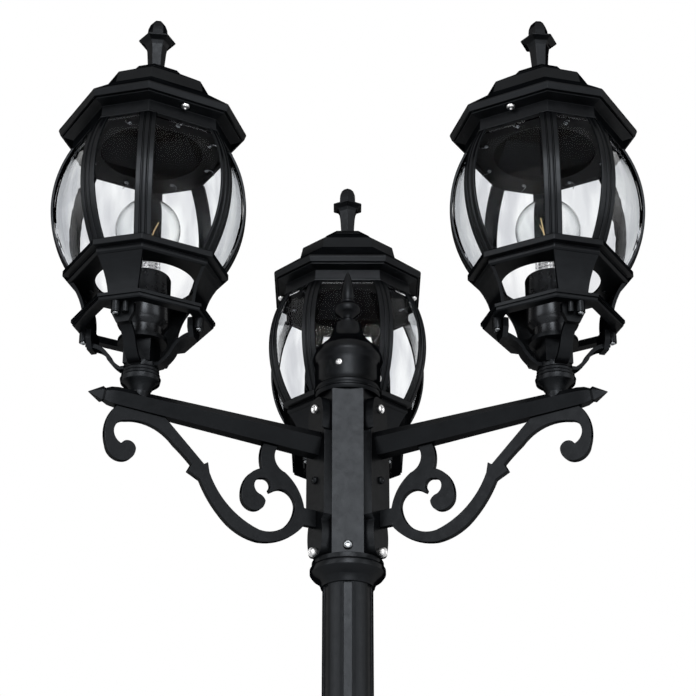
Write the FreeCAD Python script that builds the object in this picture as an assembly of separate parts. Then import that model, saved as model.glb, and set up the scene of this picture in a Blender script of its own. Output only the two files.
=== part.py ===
"""Garden lamp post with three octagonal barrel lanterns on scrolled arms. Millimetres, +Z up.

The origin is the centre of the foot's underside. One arm points along +Y, the others 120 degrees either side.
"""
import FreeCAD, Part
import math
import os

from FreeCAD import Vector

UP = Vector(0, 0, 1)
CENTRE = Vector(0, 0, 0)

# Clearances
SLIP = 0.2          # radial play of a spigot or a plug in its socket
SEAT = 0.3          # sideways play of the lift-off roof round the flange
GLASS_PLAY = 0.25   # play at each pane's top and sides

# Post
FOOT_RADIUS = 115.0
FOOT_FLANGE = 12.0
FOOT_HEIGHT = 210.0
FOOT_BODY_APOTHEM = 72.0
FOOT_WALL = 6.0
FOOT_SOCKET_DEPTH = 70.0
BOLT_CIRCLE = 196.0
BOLT_COUNT = 4
BOLT_HOLE_RADIUS = 5.5
CABLE_HOLE_RADIUS = 12.0
SHAFT_RADIUS = 23.0
SHAFT_WALL = 3.0
FLUTE_COUNT = 6
FLUTE_WIDTH = 7.8
FLUTE_DEPTH = 1.3
COUPLER_CENTRE_Z = 980.0
COUPLER_HEIGHT = 70.0
COUPLER_RADIUS = 32.0
COUPLER_SHOULDER = 5.0
SHAFT_TOP_Z = 1778.0

# Hub
COLLAR_HEIGHT = 24.0
COLLAR_RADIUS = 34.5
SPIGOT_LENGTH = 60.0
COLUMN_ARM_FACE = 26.3    # distance of the three faces that carry the arms
COLUMN_FREE_FACE = 27.8   # distance of the three faces between them
COLUMN_HEIGHT = 162.0
COLUMN_BORE_RADIUS = 16.0
CAP_HEIGHT = 82.0
CAP_RADIUS = 33.0
CAP_WALL = 3.0
SPEAR_HEIGHT = 55.0
ARM_RISE = 119.0          # arms' top above the column's foot

# Arms
HEAD_ANGLES = {"rear": 90.0, "left": 210.0, "right": 330.0}
ARM_REACH = 212.0
ARM_DEPTH = 22.0
ARM_WIDTH = 25.0
ARM_TOP_FLAT = 17.6
ARM_BOTTOM_FLAT = 12.0
ARM_SHOULDER_DROP = 7.0
ARM_END_SCALE = 0.72   # size of the section at the lantern over its size at the hub
ARM_END_REACH = 234.0
ARM_TIP_REACH = 260.5
BARB_REACH = 248.5
WIRE_BORE_RADIUS = 4.0
WIRE_DROP = 9.0
SCROLL_THICKNESS = 5.6
PLATE_THICKNESS = 8.2
PLATE_WIDTH = 33.6
PLATE_LOBE_WIDTH = 27.6
PLATE_HEIGHT = 156.0
PLATE_MIDDLE_HEIGHT = 82.0

# Lantern, with heights above the arm's top
FACE_RATIO = 1.03   # width of an end face over its distance from the lantern's axis
NECK_RADIUS = 18.2
NECK_SADDLE = 5.0    # depth of the neck's foot over the arm's shoulders
STEM_HALF_DIAGONAL = 18.0
STEM_TOP = 49.0
LEG_WIDTH = 11.5
LEG_THICKNESS = 4.0
STRAP_ROOT = 23.6
PAD_REACH = 50.5
PAD_WIDTH = 20.4
PAD_BOTTOM = 50.0
PAD_THICKNESS = 5.0
KNUCKLE_REACH = 54.2
KNUCKLE_RADIUS = 4.2
KNUCKLE_SIDE = 5.0
KNUCKLE_BOTTOM = 55.5
HOLDER_PLATE_RADIUS = 22.0
HOLDER_PLATE = 4.0
HOLDER_RADIUS = 23.4
HOLDER_HEIGHT = 62.8
LAMP_CAP_RADIUS = 13.2
LAMP_CAP_LENGTH = 26.0
LAMP_CAP_SHOW = 17.2   # length of the screw cap above the lampholder
BULB_RADIUS = 30.0
BULB_LENGTH = 88.5
RING_BOTTOM = 65.8
RING_HEIGHT = 6.6
RING_APOTHEM = 57.5
RING_INNER_APOTHEM = 46.5
RIM_BOTTOM = 109.5
RIM_HEIGHT = 13.0
RIM_APOTHEM = 66.8
RIM_INNER_APOTHEM = 55.0
RIM_PLATE = 3.0
RIM_HOLE_RADIUS = 45.0
PANEL_TOP_WIDTH = 42.0
PANEL_BOTTOM_WIDTH = 27.0
PANEL_THICKNESS = 3.0
PANEL_PLAY = 0.2       # gap between the panels' inner faces and the ring's bore
PANEL_FLARE = 11.5     # outward curve of the panels between the ring and the rim
CAGE_HEIGHT = 124.5
RIB_FOOT_APOTHEM = 63.4
RIB_WAIST_APOTHEM = 79.7
RIB_TOP_APOTHEM = 66.3
RIB_THICKNESS = 2.6
RIB_WIDTH = 15.6
PANE_DEPTH = 2.7     # the panes' outer faces inside the barrel's faces
PANE_THICKNESS = 3.0
FRAME_PLATE = 3.0
FRAME_HOLE_RADIUS = 47.0
FRAME_SKIRT_HEIGHT = 13.3
FRAME_SKIRT_APOTHEM = 66.2
FRAME_WALL = 3.5
SOFFIT_RISE = 3.2
FLANGE_APOTHEM = 74.2
FLANGE_HEIGHT = 2.4
ROOF_APOTHEM = 78.3
ROOF_EDGE = 6.3
BRIM_RISE = 25.0
CROWN_FOOT_APOTHEM = 51.0
CROWN_APOTHEM = 48.2
CROWN_HEIGHT = 13.0
ROOF_TOP_APOTHEM = 26.7
ROOF_TOP_RISE = 17.0
ROOF_WALL = 3.0
ROOF_OVERLAP = 1.0   # drop of the roof's edge past the flange's top
FINIAL_HEIGHT = 71.5
FINIAL_COLLAR_RADIUS = 17.7
FINIAL_TURN = {"rear": 0.0, "left": 38.0, "right": 36.0}   # degrees, where each finial's thread stops

# Sizes that follow from the ones above
SOCKET_RADIUS = SHAFT_RADIUS + SLIP
SHAFT_BORE_RADIUS = SHAFT_RADIUS - SHAFT_WALL
COLLAR_TOP_Z = SHAFT_TOP_Z + 6.0
COLUMN_TOP_Z = COLLAR_TOP_Z + COLUMN_HEIGHT
ARM_TOP_Z = COLLAR_TOP_Z + ARM_RISE
PLATE_FACE = COLUMN_ARM_FACE + PLATE_THICKNESS
PLATE_CENTRE_Z = COLLAR_TOP_Z + PLATE_HEIGHT / 2
HOLDER_BOTTOM = STEM_TOP + HOLDER_PLATE
HOLDER_TOP = HOLDER_BOTTOM + HOLDER_HEIGHT
LAMP_CAP_TOP = HOLDER_TOP + LAMP_CAP_SHOW
LAMP_BOTTOM = LAMP_CAP_TOP - LAMP_CAP_LENGTH
BULB_CENTRE = LAMP_BOTTOM + BULB_LENGTH - BULB_RADIUS
RING_TOP = RING_BOTTOM + RING_HEIGHT
RIM_TOP = RIM_BOTTOM + RIM_HEIGHT
FRAME_BOTTOM = RIM_TOP + CAGE_HEIGHT
SKIRT_TOP = FRAME_BOTTOM + FRAME_SKIRT_HEIGHT
FLANGE_TOP = SKIRT_TOP + SOFFIT_RISE + FLANGE_HEIGHT
ROOF_BOTTOM = FLANGE_TOP - ROOF_OVERLAP
ROOF_EDGE_TOP = ROOF_BOTTOM + ROOF_EDGE
CROWN_FOOT = ROOF_EDGE_TOP + BRIM_RISE
CROWN_TOP = CROWN_FOOT + CROWN_HEIGHT
ROOF_TOP = CROWN_TOP + ROOF_TOP_RISE
CORNER_ANGLE = math.degrees(math.atan(FACE_RATIO / 2))
CORNER_FACTOR = math.hypot(1.0, FACE_RATIO / 2)
CORNER_FACE_FACTOR = (1 + FACE_RATIO / 2) / math.sqrt(2)
END_FACES = (0.0, 90.0, 180.0, 270.0)
CORNER_FACES = (45.0, 135.0, 225.0, 315.0)
LANTERN_FACES = ((END_FACES, 1.0, CORNER_ANGLE), (CORNER_FACES, CORNER_FACE_FACTOR, 45 - CORNER_ANGLE))


# ---------------------------------------------------------------- tools

def polar(radius, angle, z=0.0):
    """Point at a radius and an angle in degrees."""
    return Vector(radius * math.cos(math.radians(angle)), radius * math.sin(math.radians(angle)), z)


def turned_about(shape, angle):
    """Copy of a shape turned about the Z axis through the origin."""
    copy = shape.copy()
    copy.rotate(CENTRE, UP, angle)
    return copy


def moved(shape, x=0.0, y=0.0, z=0.0):
    """Copy of a shape moved by an offset."""
    copy = shape.copy()
    copy.translate(Vector(x, y, z))
    return copy


def cylinder(radius, bottom, top, x=0.0, y=0.0):
    """Upright cylinder between two heights."""
    return Part.makeCylinder(radius, top - bottom, Vector(x, y, bottom), UP)


def box(x_low, x_high, y_low, y_high, bottom, top):
    """Block between opposite corners."""
    return Part.makeBox(x_high - x_low, y_high - y_low, top - bottom, Vector(x_low, y_low, bottom))


def fused(shapes):
    """One solid out of touching or crossing ones, with shared flats merged."""
    return shapes[0].multiFuse(shapes[1:]).removeSplitter()


def bowed(start, end, bow, steps=3):
    """Points from start to end along an arc that bows sideways by a share of the distance."""
    across, up = end[0] - start[0], end[1] - start[1]
    points = []
    for i in range(steps):
        along = i / steps
        side = 4 * bow * along * (1 - along)
        points.append((start[0] + across * along + up * side, start[1] + up * along - across * side))
    return points


def lathe(profile):
    """Solid turned about Z from (radius, height) points. A third value bows the side after its point."""
    points = []
    for i, here in enumerate(profile):
        there = profile[(i + 1) % len(profile)]
        points += bowed(here, there, here[2]) if len(here) == 3 else [here]
    face = Part.Face(polygon([Vector(radius, 0, z) for radius, z in points]))
    return face.revolve(CENTRE, UP, 360)


def octagon(apothem, z):
    """Corners of the lantern's eight-sided plan, whose four end faces are wider than its corner faces."""
    half = apothem * FACE_RATIO / 2
    corners = []
    for angle in END_FACES:
        corners.append(turned_point(apothem, -half, angle, z))
        corners.append(turned_point(apothem, half, angle, z))
    return corners


def turned_point(x, y, angle, z):
    """Point (x, y) turned about Z."""
    c = math.cos(math.radians(angle))
    s = math.sin(math.radians(angle))
    return Vector(c * x - s * y, s * x + c * y, z)


def polygon(points):
    """Closed wire through points."""
    return Part.makePolygon(points + [points[0]])


def frustums(levels):
    """Solid through similar flat outlines, each a list of corners, with flat sides."""
    faces = [Part.Face(polygon(levels[0])), Part.Face(polygon(levels[-1]))]
    for low, high in zip(levels, levels[1:]):
        for i in range(len(low)):
            j = (i + 1) % len(low)
            faces.append(Part.Face(polygon([low[i], low[j], high[j], high[i]])))
    shell = Part.Shell(faces)
    shell.sewShape()
    solid = Part.Solid(shell)
    if solid.Volume < 0:
        solid.reverse()
    return solid


def stack(rings, outline=octagon):
    """Solid through plan outlines given as (size, height)."""
    return frustums([outline(size, z) for size, z in rings])


def regular_hexagon(radius, z):
    """Corners of a six-sided outline with a corner on the X axis."""
    return [polar(radius, 60.0 * i, z) for i in range(6)]


def square(half, z):
    """Corners of a square."""
    return [Vector(half, -half, z), Vector(half, half, z), Vector(-half, half, z), Vector(-half, -half, z)]


def plate_from(runs, thickness):
    """Upright plate about the XZ plane. Each run of (x, z) points is a line or a chain of arcs."""
    edges = []
    for run in runs:
        points = [Vector(x, -thickness / 2, z) for x, z in run]
        if len(points) == 2:
            edges.append(Part.LineSegment(points[0], points[1]).toShape())
        for i in range(0, len(points) - 2, 2):
            edges.append(Part.Arc(points[i], points[i + 1], points[i + 2]).toShape())
    return Part.Face(Part.Wire(edges)).extrude(Vector(0, thickness, 0))


def straight_runs(points):
    """Straight runs between points in order."""
    return [[points[i], points[i + 1]] for i in range(len(points) - 1)]


def band(centre, radius, thickness, width):
    """Ring about an axis along Y, from its outer radius inwards."""
    start = centre - Vector(0, width / 2, 0)
    across = Vector(0, 1, 0)
    ring = Part.makeCylinder(radius, width, start, across)
    return ring.cut(Part.makeCylinder(radius - thickness, width, start, across))


# ---------------------------------------------------------------- post

def make_foot():
    """Cast foot: round bolting flange, six-sided tapered body, and a round neck with a socket."""
    neck = SHAFT_RADIUS + 9.0
    shoulder = FOOT_HEIGHT - 60.0
    socket_bottom = FOOT_HEIGHT - FOOT_SOCKET_DEPTH
    body_scale = FOOT_BODY_APOTHEM / COLUMN_ARM_FACE
    top_scale = (neck + 3) / COLUMN_ARM_FACE
    hollow_scale = body_scale - FOOT_WALL / COLUMN_ARM_FACE
    flange = cylinder(FOOT_RADIUS, 0, FOOT_FLANGE)
    body = stack([(body_scale + 0.25, FOOT_FLANGE - 1), (body_scale + 0.25, FOOT_FLANGE + 10),
                  (body_scale, FOOT_FLANGE + 14), (body_scale * 0.9, FOOT_FLANGE + 40),
                  (top_scale + 0.2, shoulder - 26), (top_scale, shoulder - 4), (top_scale + 0.3, shoulder),
                  (top_scale + 0.3, shoulder + 8), (top_scale, shoulder + 12)], hexagon)
    rings = [cylinder(neck, shoulder, FOOT_HEIGHT), cylinder(neck + 3, FOOT_HEIGHT - 9, FOOT_HEIGHT - 2)]
    foot = fused([flange, body] + rings)
    hollow = stack([(hollow_scale, -1), (hollow_scale, FOOT_FLANGE + 14),
                    (top_scale - 0.3, socket_bottom - 20), (top_scale - 0.4, socket_bottom - 12)], hexagon)
    foot = foot.cut(hollow)
    foot = foot.cut(cylinder(SOCKET_RADIUS, socket_bottom, FOOT_HEIGHT + 1))
    foot = foot.cut(cylinder(CABLE_HOLE_RADIUS, socket_bottom - 20, socket_bottom + 1))
    for i in range(BOLT_COUNT):
        spot = polar(BOLT_CIRCLE / 2, 45 + i * 360.0 / BOLT_COUNT)
        foot = foot.cut(cylinder(BOLT_HOLE_RADIUS, -1, FOOT_FLANGE + 1, spot.x, spot.y))
    return foot


def make_shaft(bottom, top):
    """Length of fluted tube."""
    tube = cylinder(SHAFT_RADIUS, bottom, top).cut(cylinder(SHAFT_BORE_RADIUS, bottom - 1, top + 1))
    for i in range(FLUTE_COUNT):
        flute = box(SHAFT_RADIUS - FLUTE_DEPTH, SHAFT_RADIUS + 1, -FLUTE_WIDTH / 2, FLUTE_WIDTH / 2,
                    bottom - 1, top + 1)
        tube = tube.cut(turned_about(flute, 30 + i * 360.0 / FLUTE_COUNT))
    return tube


def make_coupler():
    """Beaded sleeve at the foot of the upper shaft, with a socket for the top of the lower one."""
    low = COUPLER_CENTRE_Z - COUPLER_HEIGHT / 2
    high = COUPLER_CENTRE_Z + COUPLER_HEIGHT / 2
    skin = SHAFT_RADIUS + 4.5
    sleeve = lathe([
        (0, low), (skin, low), (skin + 1.5, low + 4), (skin, low + 8), (skin, COUPLER_CENTRE_Z - 14),
        (COUPLER_RADIUS, COUPLER_CENTRE_Z - 8), (COUPLER_RADIUS, COUPLER_CENTRE_Z + 8),
        (skin, COUPLER_CENTRE_Z + 14), (skin, high - 8), (skin + 1.5, high - 4), (skin, high), (0, high)])
    sleeve = sleeve.cut(cylinder(SOCKET_RADIUS, low - 1, COUPLER_CENTRE_Z - COUPLER_SHOULDER))
    return sleeve.cut(cylinder(SHAFT_BORE_RADIUS, low, high + 1))


# ---------------------------------------------------------------- hub

def make_collar():
    """Moulded ring at the top of the upper shaft, under the hub."""
    top = COLLAR_TOP_Z
    bottom = top - COLLAR_HEIGHT
    ring = lathe([
        (0, bottom), (SHAFT_RADIUS + 1.4, bottom), (SHAFT_RADIUS + 2.2, bottom + 3),
        (SHAFT_RADIUS + 4.4, bottom + 6.5), (COLLAR_RADIUS - 2.6, bottom + 9.5), (COLLAR_RADIUS, bottom + 13),
        (COLLAR_RADIUS, top - 6.5), (COLLAR_RADIUS - 1.8, top - 4.5), (COLLAR_RADIUS - 1.8, top), (0, top)])
    return ring.cut(cylinder(SHAFT_BORE_RADIUS, bottom - 1, top + 1))


def make_upper_shaft():
    """Upper shaft with its coupler and its collar."""
    tube = make_shaft(COUPLER_CENTRE_Z - COUPLER_SHOULDER, SHAFT_TOP_Z)
    return fused([tube, make_coupler(), make_collar()])


def hexagon(scale, z):
    """Corners of the column's plan, whose faces lie alternately at the arm's and the free distance."""
    half = scale * (COLUMN_FREE_FACE - COLUMN_ARM_FACE / 2) / math.sin(math.radians(60))
    corners = []
    for angle in HEAD_ANGLES.values():
        corners.append(turned_point(scale * COLUMN_ARM_FACE, -half, angle, z))
        corners.append(turned_point(scale * COLUMN_ARM_FACE, half, angle, z))
    return corners


def make_column():
    """Six-sided hub casting, hollow for the wires, with a spigot that plugs into the shaft."""
    column = stack([(1.0, COLLAR_TOP_Z), (1.0, COLUMN_TOP_Z)], hexagon)
    spigot = cylinder(SHAFT_BORE_RADIUS - SLIP, SHAFT_TOP_Z - SPIGOT_LENGTH, COLLAR_TOP_Z)
    column = fused([column, spigot])
    column = column.cut(cylinder(COLUMN_BORE_RADIUS, SHAFT_TOP_Z - SPIGOT_LENGTH - 1, COLUMN_TOP_Z + 1))
    wire_z = ARM_TOP_Z - WIRE_DROP
    for angle in HEAD_ANGLES.values():
        hole = Part.makeCylinder(WIRE_BORE_RADIUS, COLUMN_FREE_FACE, Vector(0, 0, wire_z), polar(1, angle))
        column = column.cut(hole)
    return column


def make_cap():
    """Turned bell cap with a knob and a spear, which closes the column. Hollow from below."""
    low = COLUMN_TOP_Z
    skirt = CAP_RADIUS - 3
    top = low + CAP_HEIGHT
    cap = lathe([
        (0, low), (skirt - 3, low), (skirt, low + 5), (skirt, low + 10), (skirt - 1.4, low + 12),
        (skirt - 1.4, low + 35), (CAP_RADIUS, low + 39), (CAP_RADIUS, low + 43), (skirt, low + 50),
        (20.6, low + 60), (15.6, low + 67), (12.4, top - 6), (8.1, top), (6.2, top + 1), (6.2, top + 6),
        (12.9, top + 11), (12.9, top + 15), (7.2, top + 20.5), (5.6, top + 23), (6.6, top + 28),
        (4.2, top + 42), (0, top + SPEAR_HEIGHT)])
    return cap.cut(cylinder(skirt - CAP_WALL - 4, low - 1, low + 46))


def make_terminal_block():
    """Ceramic terminal block inside the column."""
    centre = COLUMN_TOP_Z - 34
    return box(-9, 9, -12, 12, centre - 8, centre + 8)


# ------------------------------------------------------------ arms (X runs outwards, z = 0 on the arm's top)

def arm_under(reach):
    """Height of the arm's underside, which rises towards the lantern."""
    return ARM_DEPTH * ((1 - ARM_END_SCALE) * (reach - PLATE_FACE) / (ARM_END_REACH - PLATE_FACE) - 1)


def arm_section(reach, scale, top):
    """Six-sided section of the arm, scaled about the middle of its top."""
    half = ((ARM_TOP_FLAT, 0), (ARM_WIDTH, -ARM_SHOULDER_DROP), (ARM_BOTTOM_FLAT, -ARM_DEPTH))
    right = [Vector(reach, scale * width / 2, top + scale * z) for width, z in half]
    left = [Vector(reach, -scale * width / 2, top + scale * z) for width, z in reversed(half)]
    return right + left


def arm_bar():
    """Tapered bar with a spear tip."""
    sections = [arm_section(PLATE_FACE, 1.0, 0), arm_section(ARM_END_REACH, ARM_END_SCALE, 0)]
    tip = ((BARB_REACH - 7.5, 0.9), (BARB_REACH - 2.5, 0.66), (BARB_REACH, 0.78), (ARM_TIP_REACH, 0.04))
    for reach, share in tip:
        drop = (1 - share) * ARM_END_SCALE * ARM_DEPTH / 2
        sections.append(arm_section(reach, share * ARM_END_SCALE, -drop))
    return frustums(sections)


def make_arm():
    """Arm, bored for the wires."""
    start = Vector(PLATE_FACE - 1, 0, -WIRE_DROP)
    along = Part.makeCylinder(WIRE_BORE_RADIUS, ARM_REACH - start.x, start, Vector(1, 0, 0))
    return arm_bar().cut(along).cut(cylinder(WIRE_BORE_RADIUS, -WIRE_DROP, 1, ARM_REACH))


def make_scroll():
    """Flat cast bracket under the arm: outer curl, barbed diagonal, big loop and small inner curl."""
    curl_end = (227.6, -50.4)
    curl_back = [(ARM_END_REACH, arm_under(ARM_END_REACH)), (243.4, -34.5), (242, -54.7), (226.2, -66.3),
                 (213.7, -52.4), (217.6, -46.9), curl_end]
    curl_front = [curl_end, (235.2, -40), (224.5, -28.2), (198, -28.2), (177.7, -40.9), (168.6, -48),
                  (160, -55.8)]
    lower_barb = [(160, -55.8), (163.6, -62.7), (151.2, -68.7)]
    loop_outside = [(151.2, -68.7), (142.9, -83.1), (129.6, -98.8), (112, -111), (91.8, -115.6),
                    (66.2, -108.4), (46.4, -91.5)]
    tongue = [(46.4, -91.5), (PLATE_FACE, -91.5), (PLATE_FACE, -75), (46.6, -75)]
    riser_back = [(46.6, -75), (52.6, -59), (66.6, -44.5), (76.8, -35), (73.7, arm_under(73.7))]
    riser_front = [(89, arm_under(89)), (91.8, -32), (90.1, -45)]
    small_outside = [(90.1, -45), (106, -57.6), (109.9, -77.4), (97.6, -87.1), (85.9, -75.5), (88.3, -72.2),
                     (92.6, -70.1)]
    small_inside = [(92.6, -70.1), (97.4, -62), (89.4, -54.9), (81.9, -57.6), (83.1, -64.4)]
    spur = [(83.1, -64.4), (81.5, -67.2), (76.5, -64)]
    loop_inside = [(76.5, -64), (62, -64.2), (56.2, -77.6), (67, -97.2), (91.8, -104.2), (121, -89),
                   (142.2, -60.2)]
    upper_barb = [(142.2, -60.2), (144, -50.5), (147.8, -53.2)]
    diagonal_top = [(147.8, -53.2), (165, -37.4), (187, arm_under(187))]
    runs = [curl_back, curl_front]
    runs += straight_runs(lower_barb)
    runs += [loop_outside]
    runs += straight_runs(tongue)
    runs += [riser_back, [riser_back[-1], riser_front[0]], riser_front, small_outside, small_inside]
    runs += straight_runs(spur)
    runs += [loop_inside]
    runs += straight_runs(upper_barb)
    runs += [diagonal_top, [diagonal_top[-1], curl_back[0]]]
    return plate_from(runs, SCROLL_THICKNESS)


def make_backplate():
    """Plate with a scalloped lobe at each end, between the column and the arm, bored for the wires."""
    half = PLATE_HEIGHT / 2
    shoulder = PLATE_MIDDLE_HEIGHT / 2
    wide = PLATE_WIDTH / 2
    lobe = PLATE_LOBE_WIDTH / 2
    corners = [(0, 0), (wide, 0), (wide, shoulder), (lobe - 1.6, shoulder + 4)]
    bend = [(lobe - 1.6, shoulder + 4), (lobe, shoulder + 16), (lobe - 1.6, half - 9)]
    tip = [(lobe - 1.6, half - 9), (lobe - 4.4, half - 2.6), (lobe - 9, half)]
    edges = [Part.LineSegment(Vector(0, *corners[i]), Vector(0, *corners[i + 1])).toShape() for i in range(3)]
    for start, middle, end in (bend, tip):
        edges.append(Part.Arc(Vector(0, *start), Vector(0, *middle), Vector(0, *end)).toShape())
    edges.append(Part.LineSegment(Vector(0, *tip[2]), Vector(0, 0, half)).toShape())
    edges.append(Part.LineSegment(Vector(0, 0, half), CENTRE).toShape())
    quarter = Part.Face(Part.Wire(edges)).extrude(Vector(PLATE_THICKNESS, 0, 0))
    side = quarter.fuse(quarter.mirror(CENTRE, UP))
    plate = fused([side, side.mirror(CENTRE, Vector(0, 1, 0))])
    plate.translate(Vector(COLUMN_ARM_FACE, 0, PLATE_CENTRE_Z - ARM_TOP_Z))
    start = Vector(COLUMN_ARM_FACE - 1, 0, -WIRE_DROP)
    wires = Part.makeCylinder(WIRE_BORE_RADIUS, PLATE_THICKNESS + 2, start, Vector(1, 0, 0))
    return plate.cut(wires)


# ---------------------------------------------------------------- lantern (z = 0 on the arm's top)

def make_strap():
    """S-curved strap of a leg, from the neck up to the foot of its pad."""
    root = STRAP_ROOT
    top = root + LEG_THICKNESS
    end = PAD_REACH - 2
    return plate_from([
        [(10, root), (19, root + 1)],
        [(19, root + 1), (24.6, 28.8), (30.4, 35.6), (36, 44.0), (end, PAD_BOTTOM)],
        [(end, PAD_BOTTOM), (end, PAD_BOTTOM + LEG_THICKNESS)],
        [(end, PAD_BOTTOM + LEG_THICKNESS), (35, 47.8), (28.8, 39.4), (23.4, 32.2), (18, top)],
        [(18, top), (10, top)], [(10, top), (10, root)]], LEG_WIDTH)


def make_leg(side):
    """Leg with an upright pad and two knuckles under the gallery. The thick one is on one side (1 or -1)."""
    low = PAD_BOTTOM
    half = PAD_WIDTH / 2
    outline = ((-LEG_WIDTH / 2, low - 2), (LEG_WIDTH / 2, low - 2), (half, low + 7), (half, RING_BOTTOM),
               (-half, RING_BOTTOM), (-half, low + 7))
    face = Part.Face(polygon([Vector(PAD_REACH - PAD_THICKNESS, y, z) for y, z in outline]))
    pad = face.extrude(Vector(PAD_THICKNESS, 0, 0))
    offset = side * KNUCKLE_SIDE
    thick = cylinder(KNUCKLE_RADIUS, KNUCKLE_BOTTOM, RING_BOTTOM, KNUCKLE_REACH, offset)
    thin = cylinder(0.7 * KNUCKLE_RADIUS, KNUCKLE_BOTTOM, RING_BOTTOM, KNUCKLE_REACH - 1.3, -0.7 * offset)
    return [make_strap(), pad, thick, thin]


def make_cradle():
    """Turned neck saddled over the arm, square stem and holder plate, with four legs up to the gallery."""
    r = NECK_RADIUS
    neck = lathe([
        (0, -NECK_SADDLE), (9.3, -NECK_SADDLE), (8.9, 1), (11.3, 5.3), (13.2, 7.6), (r - 0.8, 10.6),
        (r, 14.6), (r - 1.8, 16.4), (r - 1.0, 18.2), (r - 2.4, 19.8), (r - 1.6, 21.6), (r - 2.8, 23.2),
        (r - 2.8, 28), (0, 28)])
    side = STEM_HALF_DIAGONAL / math.sqrt(2)
    stem = stack([(side, 27), (side, STEM_TOP)], square)
    plate = cylinder(HOLDER_PLATE_RADIUS, STEM_TOP, HOLDER_BOTTOM)
    pieces = [neck, turned_about(stem, 45), plate]
    for angle in CORNER_FACES:
        leg = make_leg(-1 if angle < 180 else 1)
        pieces += [turned_about(piece, angle) for piece in leg]
    cradle = fused(pieces).cut(moved(arm_bar(), -ARM_REACH))
    return cradle.cut(cylinder(WIRE_BORE_RADIUS, -NECK_SADDLE, HOLDER_BOTTOM + 1))


def make_panel():
    """Waisted panel of a corner face, which stands upright on the ring and curves outwards up to the rim."""
    height = RIM_BOTTOM - RING_TOP
    foot = PANEL_BOTTOM_WIDTH / 2
    top = PANEL_TOP_WIDTH / 2
    waist = (foot + top) / 2 - 1.6
    outline = plate_from([
        [(-foot, 0), (-waist, 0.45 * height), (-top, height)], [(-top, height), (top, height)],
        [(top, height), (waist, 0.45 * height), (foot, 0)], [(foot, 0), (-foot, 0)]], 4 * RIM_APOTHEM)
    radius = (height ** 2 + PANEL_FLARE ** 2) / (2 * PANEL_FLARE) + PANEL_THICKNESS
    inside = RING_INNER_APOTHEM * CORNER_FACE_FACTOR + PANEL_PLAY
    curve = band(Vector(inside + radius, 0, 0), radius, PANEL_THICKNESS, 2 * PANEL_TOP_WIDTH)
    near = box(0, inside + radius, -PANEL_TOP_WIDTH, PANEL_TOP_WIDTH, 0, height)
    return moved(turned_about(outline, 90).common(curve).common(near), z=RING_TOP)


def make_gallery():
    """Double-beaded eight-sided ring with a waisted panel on each corner face up to the rim."""
    middle = RING_BOTTOM + RING_HEIGHT * 0.55
    ring = fused([stack([(RING_APOTHEM - 2.6, RING_BOTTOM), (RING_APOTHEM - 1.4, RING_BOTTOM + 1),
                         (RING_APOTHEM - 1.4, middle)]),
                  stack([(RING_APOTHEM, middle), (RING_APOTHEM, RING_TOP)])])
    ring = ring.cut(stack([(RING_INNER_APOTHEM, RING_BOTTOM - 1), (RING_INNER_APOTHEM, RING_TOP + 1)]))
    return fused([ring] + [turned_about(make_panel(), angle) for angle in CORNER_FACES])


def make_rim():
    """Moulded eight-sided bottom rim: a plate with a round hole, a bead, a groove and a band."""
    outside = stack([
        (RIM_APOTHEM - 6.3, RIM_BOTTOM), (RIM_APOTHEM - 4.5, RIM_BOTTOM + 1.6),
        (RIM_APOTHEM - 4.5, RIM_BOTTOM + 4.8), (RIM_APOTHEM - 5.2, RIM_BOTTOM + 5.6),
        (RIM_APOTHEM, RIM_BOTTOM + 6.6), (RIM_APOTHEM, RIM_TOP - 1.0),
        (RIM_APOTHEM - 1.0, RIM_TOP)])
    hollow = stack([(RIM_INNER_APOTHEM, RIM_BOTTOM + RIM_PLATE), (RIM_INNER_APOTHEM, RIM_TOP + 1)])
    return outside.cut(hollow).cut(cylinder(RIM_HOLE_RADIUS, RIM_BOTTOM - 1, RIM_TOP))


def barrel(factor):
    """Circle of the barrel's side in the XZ plane. The factor is the distance over that of the end faces."""
    middle = (RIM_TOP + FRAME_BOTTOM) / 2
    heights = ((RIB_FOOT_APOTHEM, RIM_TOP), (RIB_WAIST_APOTHEM, middle), (RIB_TOP_APOTHEM, FRAME_BOTTOM))
    arc = Part.Arc(*[Vector(apothem * factor, 0, z) for apothem, z in heights])
    return arc.toShape().Curve


def make_pane(factor, half_angle):
    """Clear pane, curved in height and flat across."""
    circle = barrel(factor)
    reach = 2 * RIB_WAIST_APOTHEM
    side = band(circle.Center, circle.Radius - PANE_DEPTH, PANE_THICKNESS, 2 * reach)
    spread = reach * math.tan(math.radians(half_angle))
    apex = GLASS_PLAY / math.sin(math.radians(half_angle))
    wedge = Part.Face(polygon([Vector(apex, 0, RIM_TOP), Vector(apex + reach, -spread, RIM_TOP),
                               Vector(apex + reach, spread, RIM_TOP)]))
    return side.common(wedge.extrude(Vector(0, 0, CAGE_HEIGHT - GLASS_PLAY)))


def make_panes():
    """Eight panes that stand on the rim behind the ribs."""
    panes = []
    for angles, factor, half_angle in LANTERN_FACES:
        pane = make_pane(factor, half_angle)
        panes += [turned_about(pane, angle) for angle in angles]
    return Part.makeCompound(panes)


def make_rib():
    """Barrel rib, a flat strip across one corner of the cage."""
    circle = barrel(CORNER_FACTOR)
    strip = band(circle.Center, circle.Radius, RIB_THICKNESS, RIB_WIDTH)
    return strip.common(box(0, 2 * RIB_WAIST_APOTHEM, -RIB_WIDTH, RIB_WIDTH, RIM_TOP, FRAME_BOTTOM))


def make_ribs():
    """Eight ribs, two for each end face."""
    rib = make_rib()
    angles = [angle + side * CORNER_ANGLE for angle in END_FACES for side in (-1, 1)]
    return Part.makeCompound([turned_about(rib, angle) for angle in angles])


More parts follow.
